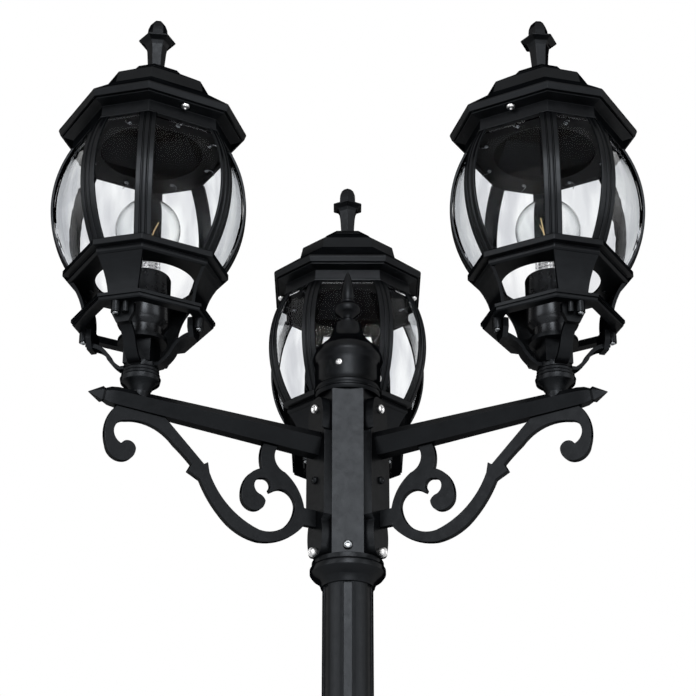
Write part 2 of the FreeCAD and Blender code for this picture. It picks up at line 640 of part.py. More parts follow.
def make_top_frame():
    """Cast top of the cage: plate with a round hole, lipped skirt, and the flange that carries the roof."""
    skirt = FRAME_SKIRT_APOTHEM
    frame = stack([
        (skirt + 0.8, FRAME_BOTTOM), (skirt + 1.2, FRAME_BOTTOM + 0.6), (skirt + 1.2, FRAME_BOTTOM + 1.8),
        (skirt, FRAME_BOTTOM + 2.4), (skirt - 0.7, SKIRT_TOP), (FLANGE_APOTHEM, FLANGE_TOP - FLANGE_HEIGHT),
        (FLANGE_APOTHEM, FLANGE_TOP)])
    inner = skirt - FRAME_WALL
    frame = frame.cut(stack([(inner, FRAME_BOTTOM + FRAME_PLATE), (inner, FLANGE_TOP + 1)]))
    return frame.cut(cylinder(FRAME_HOLE_RADIUS, FRAME_BOTTOM - 1, FLANGE_TOP))


def make_roof():
    """Hollow cast roof: sharp edge, steep brim, crown and flat top, over the flange it rests on."""
    outside = stack([
        (ROOF_APOTHEM - 1.8, ROOF_BOTTOM), (ROOF_APOTHEM, ROOF_EDGE_TOP - 1),
        (ROOF_APOTHEM - 0.6, ROOF_EDGE_TOP + 1),
        (CROWN_FOOT_APOTHEM, CROWN_FOOT), (CROWN_APOTHEM, CROWN_TOP), (ROOF_TOP_APOTHEM, ROOF_TOP)])
    ledge = FRAME_SKIRT_APOTHEM
    hollow = stack([
        (ledge, FLANGE_TOP - 1), (ledge, FLANGE_TOP + 3),
        (CROWN_FOOT_APOTHEM - ROOF_WALL, CROWN_FOOT - ROOF_WALL),
        (CROWN_APOTHEM - ROOF_WALL, CROWN_TOP - ROOF_WALL),
        (ROOF_TOP_APOTHEM - 2, ROOF_TOP - 1.4 * ROOF_WALL)])
    recess = stack([(FLANGE_APOTHEM + SEAT, ROOF_BOTTOM - 1), (FLANGE_APOTHEM + SEAT, FLANGE_TOP)])
    return outside.cut(hollow).cut(recess)


def make_finial(turn):
    """Roof finial: bevelled foot, and a six-sided stem with a thin collar and a pointed dome."""
    low = ROOF_TOP
    foot = stack([(ROOF_TOP_APOTHEM, low), (ROOF_TOP_APOTHEM - 3.9, low + 5.6)])
    collar = FINIAL_COLLAR_RADIUS
    stem = stack([
        (7.4, low + 5), (7.6, low + 12), (9.2, low + 34), (10.2, low + 40), (12.0, low + 43.4),
        (collar, low + 46.4), (collar, low + 47.6), (9.8, low + 51), (9.7, low + 57), (9.3, low + 61),
        (7.4, low + 66.2), (4.6, low + 69.4), (0.5, low + FINIAL_HEIGHT)], regular_hexagon)
    return fused([foot, turned_about(stem, turn)])


def make_holder():
    """Lampholder with a screwed socket for the lamp's cap."""
    r = HOLDER_RADIUS
    holder = lathe([
        (0, HOLDER_BOTTOM), (r - 5, HOLDER_BOTTOM), (r - 5, HOLDER_BOTTOM + 10),
        (r - 1.2, HOLDER_BOTTOM + 14), (r, HOLDER_BOTTOM + 16), (r, HOLDER_TOP - 2), (r - 1.5, HOLDER_TOP),
        (0, HOLDER_TOP)])
    return holder.cut(cylinder(LAMP_CAP_RADIUS + SLIP, LAMP_BOTTOM - SLIP, HOLDER_TOP + 1))


def make_lamp_cap():
    """Screw cap of the lamp."""
    r = LAMP_CAP_RADIUS
    return lathe([(0, LAMP_BOTTOM), (5, LAMP_BOTTOM), (r - 1.5, LAMP_BOTTOM + 4), (r, LAMP_BOTTOM + 5),
                  (r, LAMP_CAP_TOP), (0, LAMP_CAP_TOP)])


def make_bulb():
    """Glass of the lamp: a ball that runs into a tapered throat."""
    throat = LAMP_CAP_RADIUS - 0.2
    r = BULB_RADIUS
    join = 38.0
    join_r = r * math.cos(math.radians(join))
    join_z = BULB_CENTRE - r * math.sin(math.radians(join))
    waist = [(throat, LAMP_CAP_TOP + 3), (join_r, join_z, 0.11), (r, BULB_CENTRE, 0.2)]
    return lathe([(0, LAMP_CAP_TOP), (throat, LAMP_CAP_TOP)] + waist + [(0, BULB_CENTRE + r)])


# ---------------------------------------------------------------- assembly

def on_arm(shape, head):
    """Place a piece that is drawn from the post's axis along the arm."""
    return turned_about(moved(shape, 0, 0, ARM_TOP_Z), HEAD_ANGLES[head])


def on_head(shape, head):
    """Place a piece that is drawn about a lantern's axis."""
    return turned_about(moved(shape, ARM_REACH, 0, ARM_TOP_Z), HEAD_ANGLES[head])


def save(name, shape):
    """Write one node."""
    shape.exportStep("parts/" + name + ".step")


def main():
    os.makedirs("parts", exist_ok=True)
    save("foot", make_foot())
    save("lower_shaft", make_shaft(FOOT_HEIGHT - FOOT_SOCKET_DEPTH, COUPLER_CENTRE_Z - COUPLER_SHOULDER))
    save("upper_shaft", make_upper_shaft())
    save("hub_column", make_column())
    save("hub_cap", make_cap())
    save("terminal_block", make_terminal_block())
    for head in HEAD_ANGLES:
        save("arm_" + head, on_arm(make_arm(), head))
        save("roof_" + head, on_head(make_roof(), head))
        save("roof_finial_" + head, on_head(make_finial(FINIAL_TURN[head]), head))
    shared = {"scrolls": (on_arm, make_scroll()), "backplates": (on_arm, make_backplate()),
              "cradles": (on_head, make_cradle()), "galleries": (on_head, make_gallery()),
              "rims": (on_head, make_rim()), "ribs": (on_head, make_ribs()), "panes": (on_head, make_panes()),
              "top_frames": (on_head, make_top_frame()), "lampholders": (on_head, make_holder()),
              "lamp_caps": (on_head, make_lamp_cap()), "bulbs": (on_head, make_bulb())}
    for name, (place, shape) in shared.items():
        solids = []
        for head in HEAD_ANGLES:
            solids += place(shape, head).Solids
        save(name, Part.makeCompound(solids))


main()
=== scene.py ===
"""Looks for the garden lamp post: cast black metal, clear barrel lanterns and filament lamps, in metres."""
import math

import bmesh
import bpy
from mathutils import Matrix, Vector


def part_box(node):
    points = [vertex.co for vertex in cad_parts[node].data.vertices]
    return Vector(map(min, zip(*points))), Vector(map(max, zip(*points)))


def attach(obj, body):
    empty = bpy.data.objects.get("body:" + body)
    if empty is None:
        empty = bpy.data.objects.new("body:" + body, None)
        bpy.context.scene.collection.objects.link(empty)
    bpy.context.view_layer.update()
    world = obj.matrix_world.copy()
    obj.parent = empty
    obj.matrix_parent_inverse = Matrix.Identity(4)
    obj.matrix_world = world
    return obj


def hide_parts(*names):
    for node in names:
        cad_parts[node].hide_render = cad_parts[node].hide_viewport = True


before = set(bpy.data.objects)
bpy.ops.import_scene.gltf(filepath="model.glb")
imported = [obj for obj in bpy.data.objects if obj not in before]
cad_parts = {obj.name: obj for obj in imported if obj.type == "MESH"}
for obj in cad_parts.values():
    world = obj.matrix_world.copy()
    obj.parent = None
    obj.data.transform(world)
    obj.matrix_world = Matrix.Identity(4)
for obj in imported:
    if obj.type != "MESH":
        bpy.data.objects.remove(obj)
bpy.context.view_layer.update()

MM = 0.001
HEADS = {"rear": 90.0, "left": 210.0, "right": 330.0}
ROOT = "post"
UPSIDE_DOWN = Matrix.Rotation(math.pi, 4, "X")

# Places that the frame gives
REACH = (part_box("roof_rear")[0][1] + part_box("roof_rear")[1][1]) / 2
COLUMN_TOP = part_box("hub_cap")[0][2]
COLUMN_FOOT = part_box("upper_shaft")[1][2]
RIM_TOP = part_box("rims")[1][2]
FRAME_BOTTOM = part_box("top_frames")[0][2]
FLANGE_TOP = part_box("top_frames")[1][2]
HOLDER_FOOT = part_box("lampholders")[0][2]
HOLDER_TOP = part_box("lampholders")[1][2]
LAMP_CAP_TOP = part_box("lamp_caps")[1][2]
BULB_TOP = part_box("bulbs")[1][2]
RING_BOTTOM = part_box("galleries")[0][2]
RIM_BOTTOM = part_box("rims")[0][2]
PLATE_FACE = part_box("backplates")[1][1]

# Lantern sizes
FACE_RATIO = 1.03  # width of an end face over its distance from the lantern's axis
CORNER_ANGLE = math.atan(FACE_RATIO / 2)  # from an end face's middle to its corner
CORNER_FACTOR = math.hypot(1, FACE_RATIO / 2)  # distance of a corner over that of an end face
CORNER_FACE_FACTOR = (1 + FACE_RATIO / 2) / math.sqrt(2)  # the same for a corner face
RIB_FOOT = 63.4 * MM
RIB_WAIST = 79.7 * MM
RIB_TOP = 66.3 * MM
BARREL_STEPS = 40
PANE_DEPTH = 2.75 * MM  # of the panes' outer faces inside the barrel's
PANE_THICKNESS = 2.6 * MM
PANE_SIDE_GAP = 0.4 * MM
PANE_FOOT_GAP = 0.1 * MM
PANE_TOP_GAP = 0.3 * MM
BULB_RADIUS = 30 * MM
BULB_WALL = 0.7 * MM
BULB_THROAT = 12.9 * MM
HOLDER_RADIUS = 23.4 * MM

# Distances of the screws from the axis of their lantern or of the post
CLIP_REACH = 57 * MM
ROOF_SCREW_REACH = 70.8 * MM
KNUCKLE_REACH = 54.2 * MM
KNUCKLE_SIDE = 5 * MM  # sideways, from the middle of the leg
KNUCKLE_DROP = 10.3 * MM  # of the knuckles' undersides below the ring's
RIM_SCREW_REACH = 52 * MM
CAP_SCREW_REACH = 30.7 * MM
CAP_SCREW_ANGLES = (255, 15, 135)
COLUMN_FACE = 27.8 * MM

# Colours of the coat on the cast pieces
COAT_DARK = (0.0008, 0.0009, 0.0011)
COAT_LIGHT = (0.0024, 0.0027, 0.0031)

WELD = 1e-7  # distance under which turned surfaces' points are merged


# ---------------------------------------------------------------- materials

def new_material(name):
    """Material with its shader and a tree to add to."""
    material = bpy.data.materials.new(name)
    material.use_nodes = True
    tree = material.node_tree
    return material, tree, tree.nodes["Principled BSDF"]


def noise(tree, scale, detail=4.0, roughness=0.6, coords=None):
    """Noise in object space."""
    if coords is None:
        coords = tree.nodes.new("ShaderNodeTexCoord").outputs["Object"]
    node = tree.nodes.new("ShaderNodeTexNoise")
    node.inputs["Scale"].default_value = scale
    node.inputs["Detail"].default_value = detail
    node.inputs["Roughness"].default_value = roughness
    tree.links.new(coords, node.inputs["Vector"])
    return node.outputs["Fac"]


def ramp(tree, value, low, high, start=0.35, end=0.65):
    """Colour that runs between two colours."""
    node = tree.nodes.new("ShaderNodeValToRGB")
    node.color_ramp.elements[0].position = start
    node.color_ramp.elements[1].position = end
    node.color_ramp.elements[0].color = (*low, 1)
    node.color_ramp.elements[1].color = (*high, 1)
    tree.links.new(value, node.inputs["Fac"])
    return node.outputs["Color"]


def spread(tree, value, low, high, start=0.3, end=0.7):
    """Value spread over a range."""
    node = tree.nodes.new("ShaderNodeMapRange")
    node.inputs["From Min"].default_value = start
    node.inputs["From Max"].default_value = end
    node.inputs["To Min"].default_value = low
    node.inputs["To Max"].default_value = high
    tree.links.new(value, node.inputs["Value"])
    return node.outputs["Result"]


def slant(tree):
    """Nought where a surface faces the eye, one where it is seen along itself."""
    node = tree.nodes.new("ShaderNodeLayerWeight")
    node.inputs["Blend"].default_value = 0.5
    return node.outputs["Facing"]


def bump(tree, value, strength, distance, below=None):
    """Bump from a height, over another bump if one is given."""
    node = tree.nodes.new("ShaderNodeBump")
    node.inputs["Strength"].default_value = strength
    node.inputs["Distance"].default_value = distance
    tree.links.new(value, node.inputs["Height"])
    if below is not None:
        tree.links.new(below, node.inputs["Normal"])
    return node.outputs["Normal"]


def coat(name, dark, light, rough, grain=0.35, waves=0.25, shine=0.14):
    """Powder coat with a fine grain, faint waves and small changes of tone, and less gloss at a slant."""
    material, tree, shader = new_material(name)
    tone = noise(tree, 22.0, 5.0)
    tree.links.new(ramp(tree, tone, dark, light), shader.inputs["Base Color"])
    tree.links.new(spread(tree, noise(tree, 160.0, 3.0), *rough), shader.inputs["Roughness"])
    cast = bump(tree, noise(tree, 90.0, 2.0, 0.4), waves, 0.0005)
    tree.links.new(bump(tree, noise(tree, 1500.0, 2.0, 0.5), grain, 0.00012, cast), shader.inputs["Normal"])
    shader.inputs["Specular IOR Level"].default_value = shine
    gloss = spread(tree, slant(tree), shine, 0.0, 0.15, 0.6)
    tree.links.new(gloss, shader.inputs["Specular IOR Level"])
    shader.inputs["Specular Tint"].default_value = (0.86, 0.92, 1, 1)
    return material


def glass(name, clear, grey, edge, streaks, waves):
    """Clear moulded glass with upright streaks and waves, and painted shade that darkens it where it is seen
    along its surface.
    """
    material, tree, shader = new_material(name)
    coords = tree.nodes.new("ShaderNodeTexCoord")
    stretch = tree.nodes.new("ShaderNodeMapping")
    stretch.inputs["Scale"].default_value = (1.0, 1.0, 0.12)
    tree.links.new(coords.outputs["Object"], stretch.inputs["Vector"])
    flow = noise(tree, streaks, 2.0, 0.5, stretch.outputs["Vector"])
    mix = tree.nodes.new("ShaderNodeMix")
    mix.data_type = "RGBA"
    # Painted shade: the colour runs to the dark edge colour as the glass is seen more along its surface.
    tree.links.new(spread(tree, slant(tree), -0.3, 0.6), mix.inputs["Factor"])
    tree.links.new(ramp(tree, flow, grey, clear, 0.42, 0.58), mix.inputs["A"])
    mix.inputs["B"].default_value = (*edge, 1)
    tree.links.new(mix.outputs["Result"], shader.inputs["Base Color"])
    shader.inputs["Transmission Weight"].default_value = 1.0
    shader.inputs["Roughness"].default_value = 0.0
    shader.inputs["IOR"].default_value = 1.07
    tree.links.new(bump(tree, flow, waves, 0.002), shader.inputs["Normal"])
    return material


def metal(name, colour, rough):
    """Bright metal with fine turning marks."""
    material, tree, shader = new_material(name)
    darker = tuple(0.8 * c for c in colour)
    tree.links.new(ramp(tree, noise(tree, 400.0), darker, colour), shader.inputs["Base Color"])
    shader.inputs["Metallic"].default_value = 1.0
    tree.links.new(spread(tree, noise(tree, 900.0), *rough), shader.inputs["Roughness"])
    tree.links.new(bump(tree, noise(tree, 2500.0, 1.0), 0.2, 0.00005), shader.inputs["Normal"])
    return material


def make_materials():
    """Every finish, by the slot that it stands for."""
    made = {
        "black_casting": coat("coat_casting", COAT_DARK, COAT_LIGHT, (0.34, 0.42), 0.35, 0.06),
        "black_shaft": coat("coat_shaft", COAT_DARK, COAT_LIGHT, (0.3, 0.4), 0.3, 0.1),
        "black_arm": coat("coat_arm", COAT_DARK, COAT_LIGHT, (0.3, 0.42)),
        "black_bracket": coat("coat_bracket", COAT_DARK, COAT_LIGHT, (0.4, 0.52), 0.5),
        "black_cage": coat("coat_cage", COAT_DARK, COAT_LIGHT, (0.28, 0.4)),
        "black_roof": coat("coat_roof", COAT_DARK, COAT_LIGHT, (0.34, 0.46)),
        "black_cradle": coat("coat_cradle", COAT_DARK, COAT_LIGHT, (0.3, 0.42)),
    }
    # The third colour of each glass is painted shade, for where the glass is seen along its surface.
    made["pane_glass"] = glass(
        "pane_glass", (0.97, 0.98, 0.985), (0.80, 0.81, 0.83), (0.34, 0.36, 0.38), 55.0, 0.12)
    made["bulb_glass"] = glass(
        "bulb_glass", (0.97, 0.97, 0.965), (0.93, 0.94, 0.94), (0.4, 0.41, 0.41), 40.0, 0.0)
    made["holder_black"] = coat(
        "holder_plastic", (0.003, 0.003, 0.0032), (0.005, 0.005, 0.0055), (0.26, 0.3), 0.02, 0.0, 0.25)
    made["white_block"] = coat("block_plastic", (0.7, 0.68, 0.62), (0.78, 0.76, 0.7), (0.4, 0.5), 0.15, 0.1)
    made["lamp_cap_metal"] = metal("lamp_cap_metal", (0.62, 0.62, 0.63), (0.2, 0.34))
    made["screw_metal"] = metal("screw_metal", (0.6, 0.6, 0.6), (0.22, 0.4))
    made["clip_metal"] = metal("clip_metal", (0.2, 0.21, 0.22), (0.2, 0.3))
    made["filament"] = metal("filament_wire", (0.8, 0.58, 0.3), (0.3, 0.4))
    return made


# ---------------------------------------------------------------- mesh tools

def add(name, bm, body, slot, replaced=(), bevel=0.0, sharp=30.0):
    """Object from a bmesh, which rides on a body and wears a slot's finish."""
    bmesh.ops.recalc_face_normals(bm, faces=bm.faces)
    mesh = bpy.data.meshes.new(name)
    bm.to_mesh(mesh)
    bm.free()
    mesh.shade_smooth()
    mesh.set_sharp_from_angle(angle=math.radians(sharp))
    piece = bpy.data.objects.new(name, mesh)
    bpy.context.scene.collection.objects.link(piece)
    mesh.materials.append(MATERIALS[slot])
    if bevel:
        edge = piece.modifiers.new("rounded edges", "BEVEL")
        edge.width = bevel
        edge.segments = 2
        edge.limit_method = "ANGLE"
        edge.angle_limit = math.radians(sharp)
        edge.harden_normals = True
        edge.use_clamp_overlap = True
    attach(piece, body)
    if replaced:
        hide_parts(*replaced)


def from_node(node, body, slot, bevel, sharp=30.0):
    """Copy of a CAD node with rounded edges, in place of the node."""
    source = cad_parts[node]
    bm = bmesh.new()
    bm.from_mesh(source.data)
    bmesh.ops.transform(bm, matrix=source.matrix_world, verts=bm.verts)
    bmesh.ops.remove_doubles(bm, verts=bm.verts, dist=2e-6)
    bmesh.ops.dissolve_limit(bm, angle_limit=math.radians(0.5), verts=bm.verts, edges=bm.edges)
    add(node + "_cast", bm, body, slot, (node,), bevel, sharp)


def head_matrix(head, reach=REACH, z=0.0):
    """Place of a head at a reach along its arm, by default the lantern's axis."""
    turn = Matrix.Rotation(math.radians(HEADS[head]), 4, "Z")
    return turn @ Matrix.Translation(Vector((reach, 0, z)))


def polar(radius, angle, z=0.0):
    """Point at a radius and an angle in radians."""
    return Vector((radius * math.cos(angle), radius * math.sin(angle), z))


def lathe(bm, profile, matrix, steps):
    """Turned surface through (radius, height) points, closed where the radius is nought."""
    rings = []
    for radius, z in profile:
        if radius < WELD:
            points = [Vector((0, 0, z))]
        else:
            points = [polar(radius, 2 * math.pi * i / steps, z) for i in range(steps)]
        rings.append([bm.verts.new(matrix @ point) for point in points])
    for low, high in zip(rings, rings[1:]):
        for i in range(steps):
            j = (i + 1) % steps
            corners = [low[i % len(low)], low[j % len(low)], high[j % len(high)], high[i % len(high)]]
            corners = list(dict.fromkeys(corners))
            if len(corners) > 2:
                bm.faces.new(corners)


def smooth_profile(points, steps):
    """Smooth line through (radius, height) points. A third value keeps a corner at its point."""
    fine = []
    for i in range(len(points) - 1):
        here, there = points[i], points[i + 1]
        before = points[i - 1] if i > 0 and len(here) == 2 else here
        after = points[i + 2] if i + 2 < len(points) and len(there) == 2 else there
        for k in range(steps):
            t = k / steps
            fine.append(tuple(
                0.5 * (2 * here[a] + (there[a] - before[a]) * t
                       + (2 * before[a] - 5 * here[a] + 4 * there[a] - after[a]) * t ** 2
                       + (3 * here[a] - before[a] - 3 * there[a] + after[a]) * t ** 3)
                for a in (0, 1)))
    fine.append(tuple(points[-1][:2]))
    return [(max(0.0, r), z) for r, z in fine]


def strip(bm, sections):
    """Closed bar through sections, each a ring of as many points."""
    rings = [[bm.verts.new(point) for point in section] for section in sections]
    count = len(rings[0])
    for low, high in zip(rings, rings[1:]):
        for i in range(count):
            j = (i + 1) % count
            bm.faces.new([low[i], low[j], high[j], high[i]])
    bm.faces.new(list(reversed(rings[0])))
    bm.faces.new(rings[-1])


def wire(bm, points, radius, sides=8):
    """Round wire through points."""
    rings = []
    for i, point in enumerate(points):
        along = (points[min(i + 1, len(points) - 1)] - points[max(i - 1, 0)]).normalized()
        across = along.cross(Vector((0.3, 0.9, 0.2))).normalized()
        up = along.cross(across)
        rings.append([point + (across * math.cos(a) + up * math.sin(a)) * radius
                      for a in (2 * math.pi * k / sides for k in range(sides))])
    strip(bm, rings)


def screw(bm, matrix, radius, height, drive="cross"):
    """Pan-head screw of a radius and height in mm, whose head stands on z = 0, with its drive sunk in."""
    r, h = radius * MM, height * MM
    profile = [(0, 0), (r, 0), (r, h * 0.35), (r * 0.93, h * 0.68), (r * 0.74, h * 0.9), (r * 0.5, h)]
    if drive == "socket":
        profile += [(r * 0.45, h), (r * 0.45, h * 0.3), (0, h * 0.3)]
    else:
        profile += [(r * 0.4, h), (r * 0.26, h * 0.55), (0, h * 0.35)]
    lathe(bm, profile, matrix, 24)


def clip(bm, matrix):
    """Small screw under a plate, with the bent wire clip that holds a pane."""
    screw(bm, matrix @ UPSIDE_DOWN, 2.0, 1.5)
    bends = ((0, -2.4, -0.8), (4, -2.8, -0.8), (7, -1.6, -1.6), (8.2, 0, -3.4))
    wire(bm, [matrix @ (Vector(bend) * MM) for bend in bends], 0.45 * MM, 6)


def aim(place, direction):
    """Matrix that stands +Z along a direction at a place."""
    return Matrix.Translation(place) @ Vector(direction).to_track_quat("Z", "Y").to_matrix().to_4x4()


# ---------------------------------------------------------------- lantern pieces

def barrel_circle(factor):
    """Arc of the barrel's side: distance of its centre, radius, and height of its centre."""
    half = (FRAME_BOTTOM - RIM_TOP) / 2
    low, waist, high = RIB_FOOT * factor, RIB_WAIST * factor, RIB_TOP * factor
    # circle through (low, -half), (waist, 0), (high, half)
    a = 2 * (waist - low)
    b = 2 * half
    c = waist ** 2 - low ** 2 - half ** 2
    d = 2 * (high - waist)
    e = 2 * half
    f = high ** 2 - waist ** 2 + half ** 2
    x = (c * e - b * f) / (a * e - b * d)
    z = (a * f - c * d) / (a * e - b * d)
    return x, math.hypot(waist - x, z), z + RIM_TOP + half


def barrel_point(circle, depth, z):
    """Distance from the lantern's axis at a height, at a depth inside the barrel."""
    x, radius, centre = circle
    return x + math.sqrt((radius - depth) ** 2 - (z - centre) ** 2)


def make_ribs():
    """Ribs, flat strips across the cage's corners, with a bead along the middle between two grooves."""
    bm = bmesh.new()
    circle = barrel_circle(CORNER_FACTOR)
    # (across, depth inside the barrel) in mm
    profile = [(-7.7, 0.9), (-7.2, 0.35), (-3.5, 0.3), (-3.1, 1.3), (-2.3, 1.3), (-1.9, 0.4), (-1.2, 0.05)]
    profile += [(-across, depth) for across, depth in reversed(profile)] + [(7.7, 2.6), (-7.7, 2.6)]
    for head in HEADS:
        for quarter in range(4):
            for side in (-1, 1):
                turn = Matrix.Rotation(quarter * math.pi / 2 + side * CORNER_ANGLE, 4, "Z")
                matrix = head_matrix(head) @ turn
                sections = []
                for i in range(BARREL_STEPS + 1):
                    z = RIM_TOP + (FRAME_BOTTOM - RIM_TOP) * i / BARREL_STEPS
                    sections.append([
                        matrix @ Vector((barrel_point(circle, depth * MM, z), across * MM, z))
                        for across, depth in profile])
                strip(bm, sections)
    add("lantern_ribs", bm, ROOT, "black_cage", ("ribs",), 0.25 * MM)


def make_panes():
    """Curved clear panes, one object for each, so that each edge shows. The first stands for the node."""
    low = RIM_TOP + PANE_FOOT_GAP
    high = FRAME_BOTTOM - PANE_TOP_GAP
    for head in HEADS:
        for k in range(8):
            on_end = k % 2 == 0
            circle = barrel_circle(1.0 if on_end else CORNER_FACE_FACTOR)
            slope = math.tan(CORNER_ANGLE if on_end else math.pi / 4 - CORNER_ANGLE)
            matrix = head_matrix(head) @ Matrix.Rotation(k * math.pi / 4, 4, "Z")
            sections = []
            for i in range(BARREL_STEPS + 1):
                z = low + (high - low) * i / BARREL_STEPS
                outer = barrel_point(circle, PANE_DEPTH, z)
                inner = barrel_point(circle, PANE_DEPTH + PANE_THICKNESS, z)
                sections.append([
                    matrix @ Vector((out, side * (out * slope - PANE_SIDE_GAP), z))
                    for out, side in ((outer, -1), (outer, 1), (inner, 1), (inner, -1))])
            bm = bmesh.new()
            strip(bm, sections)
            replaced = ("panes",) if (head, k) == ("rear", 0) else ()
            add(f"pane_{head}_{k}", bm, ROOT, "pane_glass", replaced)


def bulb_profile(inset):
    """Outline of the lamp's glass, drawn in by an inset, from its throat to its top."""
    throat = BULB_THROAT - inset
    points = [(throat, LAMP_CAP_TOP + 0.1 * MM), (throat + 0.2 * MM, LAMP_CAP_TOP + 2.5 * MM),
              (throat + 1.6 * MM, LAMP_CAP_TOP + 5 * MM)]
    start, end, steps = -52, 90, 21  # arc of the ball in degrees, without its last point
    for i in range(steps):
        ball = polar(BULB_RADIUS - inset, math.radians(start + (end - start) * i / steps))
        points.append((ball.x, BULB_TOP - BULB_RADIUS + ball.y))
    return points + [(0.0, BULB_TOP - inset)]


def make_bulbs():
    """Clear lamps: thin glass, the pinched glass stem, its wires and the filaments."""
    outside, inside = bulb_profile(0.0), bulb_profile(BULB_WALL)
    foot = LAMP_CAP_TOP + 0.2 * MM
    stem = [(0, foot), (8 * MM, foot), (6 * MM, foot + 4 * MM), (3.2 * MM, foot + 9 * MM),
            (2.4 * MM, foot + 22 * MM), (3.0 * MM, foot + 24 * MM), (0, foot + 25 * MM)]
    for head in HEADS:
        matrix = head_matrix(head)
        bm = bmesh.new()
        lathe(bm, outside + inside[::-1] + outside[:1], matrix, 64)
        bmesh.ops.remove_doubles(bm, verts=bm.verts, dist=WELD)
        add(f"bulb_glass_{head}", bm, ROOT, "bulb_glass", ("bulbs",) if head == "rear" else ())
        bm = bmesh.new()
        lathe(bm, stem, matrix, 24)
        add(f"bulb_stem_{head}", bm, ROOT, "bulb_glass")
        make_filament(head, matrix)


def make_filament(head, matrix):
    """Wires and four long filaments that lean outwards from the stem's top."""
    low = LAMP_CAP_TOP + 23 * MM
    high = BULB_TOP - 20 * MM
    bm = bmesh.new()
    for i in range(4):
        angle = math.pi / 4 + i * math.pi / 2
        foot = polar(3.4 * MM, angle, low)
        tip = polar(9.5 * MM, angle + 0.5, high)
        middle = foot * 0.6 + tip * 0.4 + Vector((0, 0, 2 * MM))
        wire(bm, [matrix @ point for point in (foot, middle, tip)], 0.5 * MM)
    add(f"filaments_{head}", bm, ROOT, "filament")
    bm = bmesh.new()
    for side in (-1, 1):
        bends = (
            (side * 1.2 * MM, LAMP_CAP_TOP + 5 * MM), (side * 1.4 * MM, low), (side * 4.5 * MM, low + 3 * MM))
        wire(bm, [matrix @ Vector((x, 0, z)) for x, z in bends], 0.3 * MM)
    wire(bm, [matrix @ Vector((0, 0, z)) for z in (low, high + 3 * MM)], 0.35 * MM)
    add(f"bulb_wires_{head}", bm, ROOT, "screw_metal")


def make_lamp_caps():
    """Screw caps of the lamps, with a rounded thread above the lampholder."""
    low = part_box("lamp_caps")[0][2]
    profile = [(0, low), (5 * MM, low), (11.5 * MM, low + 4 * MM)]
    z = low + 5 * MM
    while z < LAMP_CAP_TOP - 4 * MM:
        profile += [(12.2 * MM, z), (13.1 * MM, z + 1.2 * MM), (13.1 * MM, z + 1.7 * MM),
                    (12.2 * MM, z + 2.9 * MM)]
        z += 3.5 * MM
    profile += [(12.6 * MM, z + 0.6 * MM), (12.6 * MM, LAMP_CAP_TOP - 0.4 * MM), (12.2 * MM, LAMP_CAP_TOP),
                (0, LAMP_CAP_TOP)]
    bm = bmesh.new()
    for head in HEADS:
        lathe(bm, profile, head_matrix(head), 48)
    add("lamp_screw_caps", bm, ROOT, "lamp_cap_metal", ("lamp_caps",), sharp=50)


def make_holders():
    """Lampholders: smooth sleeve, shoulder and the threaded mouth."""
    r, low, high = HOLDER_RADIUS, HOLDER_FOOT, HOLDER_TOP
    profile = [
        (0, low), (18.4 * MM, low), (18.4 * MM, low + 10 * MM), (22.2 * MM, low + 13.5 * MM),
        (r, low + 16 * MM), (r, low + 30 * MM), (r - 0.7 * MM, low + 31 * MM), (r, low + 32 * MM),
        (r, high - 3 * MM), (r - 1 * MM, high - 0.8 * MM), (r - 2.4 * MM, high), (15.4 * MM, high),
        (14.2 * MM, high - 1 * MM), (14.2 * MM, high - 8 * MM), (0, high - 8 * MM)]
    bm = bmesh.new()
    for head in HEADS:
        lathe(bm, profile, head_matrix(head), 64)
    add("lampholder_sleeves", bm, ROOT, "holder_black", ("lampholders",), 0.3 * MM)


def make_cap():
    """Smooth bell cap, knob and spear, with radii in mm and heights over the column's top."""
    corner = 1
    profile = [
        (0, 0, corner), (30.4, 0, corner), (31.6, 1.6), (32.0, 3.4, corner), (31.0, 4.6, corner),
        (31.0, 6.2, corner), (31.8, 7.2), (31.8, 9.4, corner), (30.8, 10.8, corner), (30.8, 34.6, corner),
        (31.6, 36.2), (32.6, 38.8), (32.95, 41), (32.5, 43.6), (30.6, 48.8, corner), (29.4, 50.4, corner),
        (24.6, 55.5), (20.2, 60), (17.0, 64.8), (14.8, 69.8), (13.2, 75.4), (12.4, 78.6, corner),
        (8.1, 81, corner), (8.1, 82.6, corner), (6.4, 84), (6.3, 86.4), (9.4, 89.6, corner), (12.1, 91.8),
        (12.85, 94.6), (12.1, 97.4), (9.0, 100.2), (7.2, 102, corner), (7.4, 103.4, corner),
        (5.6, 104.8, corner), (6.2, 108), (6.4, 112), (5.6, 119), (4.0, 126), (1.9, 133), (0, 136.6)]
    scaled = [(radius * MM, COLUMN_TOP + z * MM, *mark) for radius, z, *mark in profile]
    bm = bmesh.new()
    lathe(bm, smooth_profile(scaled, 4), Matrix.Identity(4), 96)
    bmesh.ops.remove_doubles(bm, verts=bm.verts, dist=WELD)
    add("bell_cap", bm, ROOT, "black_casting", ("hub_cap",), sharp=40)


